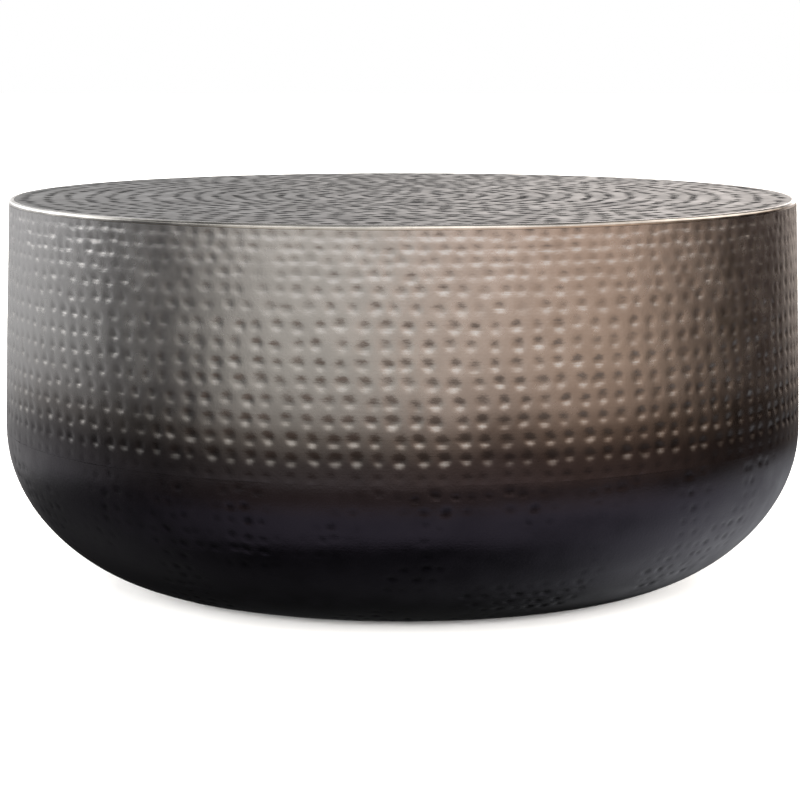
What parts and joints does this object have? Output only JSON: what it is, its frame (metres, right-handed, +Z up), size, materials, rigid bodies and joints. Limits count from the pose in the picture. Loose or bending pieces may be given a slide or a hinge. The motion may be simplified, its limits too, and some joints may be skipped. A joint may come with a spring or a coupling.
{
  "type": "coffee table",
  "caption": "Round hammered metal drum coffee table with a flat top, a bright rounded rim, a flared drum wall and an open bowl base on floor glides.",
  "frame": {"origin": "on the floor, at the centre of the drum", "axes": "+Z up along the drum's axis; the drum is round, so +X and +Y are free"},
  "size_m": [0.965, 0.965, 0.461],
  "materials": {
    "top_sheet": "hammered pewter",
    "rim_metal": "polished",
    "wall_sheet": "hammered, pewter fading to bronze",
    "bowl_sheet": "blackened, lightly hammered",
    "board": "raw fibreboard",
    "frame_steel": "mill",
    "screw_zinc": "zinc plated",
    "glide_nylon": "moulded"
  },
  "bodies": {
    "root": {"top_panel": "top_sheet", "rim_bar": "rim_metal", "side_wall": "wall_sheet", "base_bowl": "bowl_sheet", "top_board": "board", "top_hoop": "frame_steel", "base_ring": "frame_steel", "board_screw_1": "screw_zinc", "board_screw_2": "screw_zinc", "board_screw_3": "screw_zinc", "board_screw_4": "screw_zinc", "board_screw_5": "screw_zinc", "board_screw_6": "screw_zinc", "board_screw_7": "screw_zinc", "board_screw_8": "screw_zinc", "glide_1": "glide_nylon", "glide_2": "glide_nylon", "glide_3": "glide_nylon", "glide_4": "glide_nylon", "glide_5": "glide_nylon", "glide_6": "glide_nylon", "glide_screw_1": "screw_zinc", "glide_screw_2": "screw_zinc", "glide_screw_3": "screw_zinc", "glide_screw_4": "screw_zinc", "glide_screw_5": "screw_zinc", "glide_screw_6": "screw_zinc"}
  },
  "joints": []
}
